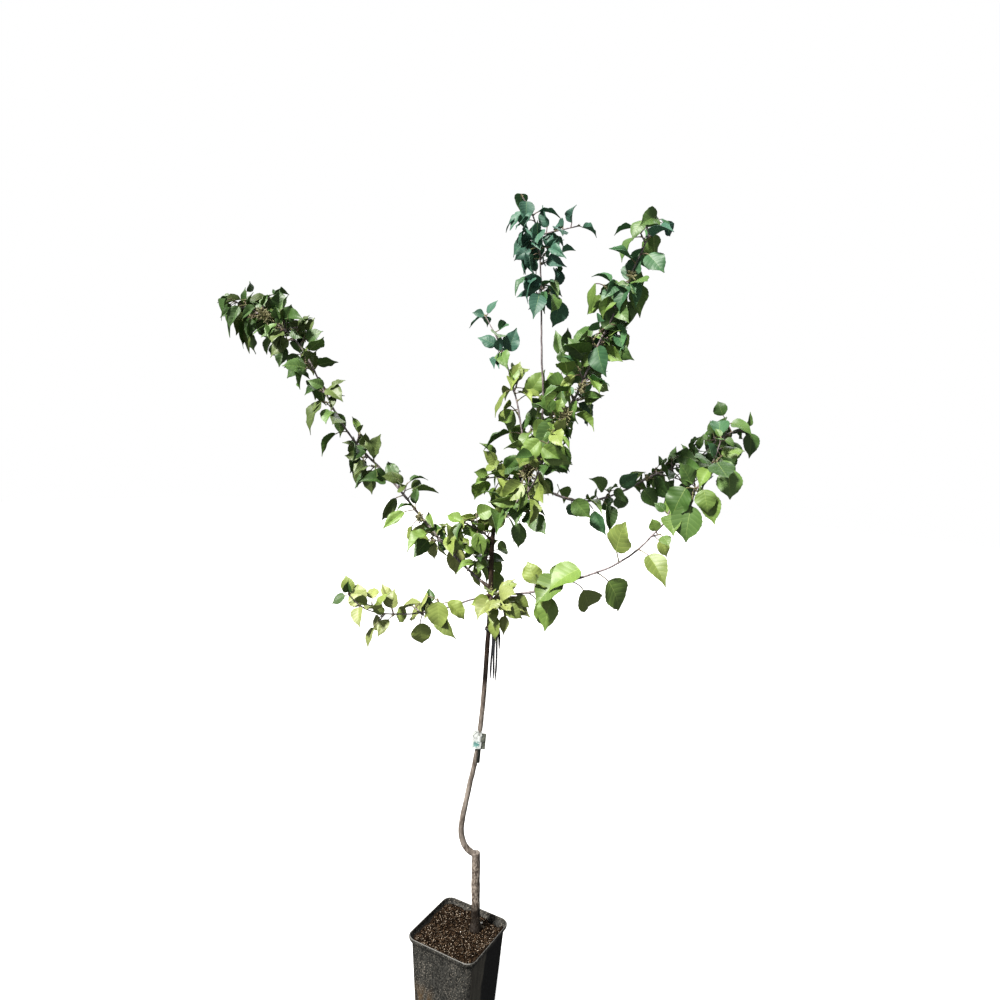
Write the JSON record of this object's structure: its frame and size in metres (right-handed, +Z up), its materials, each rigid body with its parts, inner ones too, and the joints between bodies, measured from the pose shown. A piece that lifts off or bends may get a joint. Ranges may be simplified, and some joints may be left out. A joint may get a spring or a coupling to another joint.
{
  "type": "young potted apricot tree",
  "caption": "Young budded apricot tree in a square nursery pot: kinked graft, slim bare trunk, wide open crown of arching boughs with broad pointed leaves.",
  "frame": {"origin": "middle of the pot's flat underside", "axes": "+Z up along the trunk, +X to the right and +Y away from someone who looks at the tree from the front"},
  "size_m": [1.1847, 0.4962, 1.723],
  "materials": {
    "pot": "satin black moulded plastic",
    "soil": "damp dark potting mix with bark and white grains",
    "bark": "smooth grey-brown young bark with pale pores",
    "tie": "soft black chain-lock plastic",
    "tag": "plain white plastic strip with a teal end",
    "leaf_bright": "thin sunlit leaf, satin",
    "leaf_mid": "thin leaf, satin",
    "leaf_deep": "thin dark leaf, satin",
    "leaf_blue": "thin bluish green leaf, satin"
  },
  "bodies": {
    "root": {"pot": "pot", "soil": "soil", "trunk": "bark", "tie": "tie", "tag": "tag", "leader_bough": "bark", "upright_bough": "bark", "twig_bough": "bark", "left_bough": "bark", "left_low_bough": "bark", "right_low_bough": "bark", "right_mid_bough": "bark", "back_bough": "bark", "front_bough": "bark", "left_knee": "leaf_bright", "left_inner": "leaf_mid", "left_mid": "leaf_mid", "left_upper": "leaf_deep", "left_shoulder": "leaf_deep", "left_crook": "leaf_deep", "left_tip": "leaf_deep", "left_low_mid": "leaf_mid", "left_low_tip": "leaf_mid", "right_low_near": "leaf_bright", "right_low_mid": "leaf_bright", "right_low_tip": "leaf_mid", "right_mid_near": "leaf_deep", "right_mid_mid": "leaf_deep", "right_mid_far": "leaf_mid", "right_crook": "leaf_mid", "right_tip": "leaf_mid", "leader_low": "leaf_blue", "leader_mid": "leaf_blue", "leader_top": "leaf_blue", "upright_low": "leaf_bright", "upright_mid": "leaf_bright", "upright_high": "leaf_mid", "upright_far": "leaf_mid", "upright_top": "leaf_blue", "twig_low": "leaf_bright", "twig_mid": "leaf_bright", "twig_top": "leaf_blue", "back_low": "leaf_mid", "back_tip": "leaf_mid", "front_low": "leaf_bright", "front_tip": "leaf_bright", "fork_spray": "leaf_bright", "fork_back_spray": "leaf_mid", "stem_spray_left": "leaf_bright", "stem_spray_right": "leaf_deep", "knot_spray_left": "leaf_bright"}
  },
  "joints": []
}
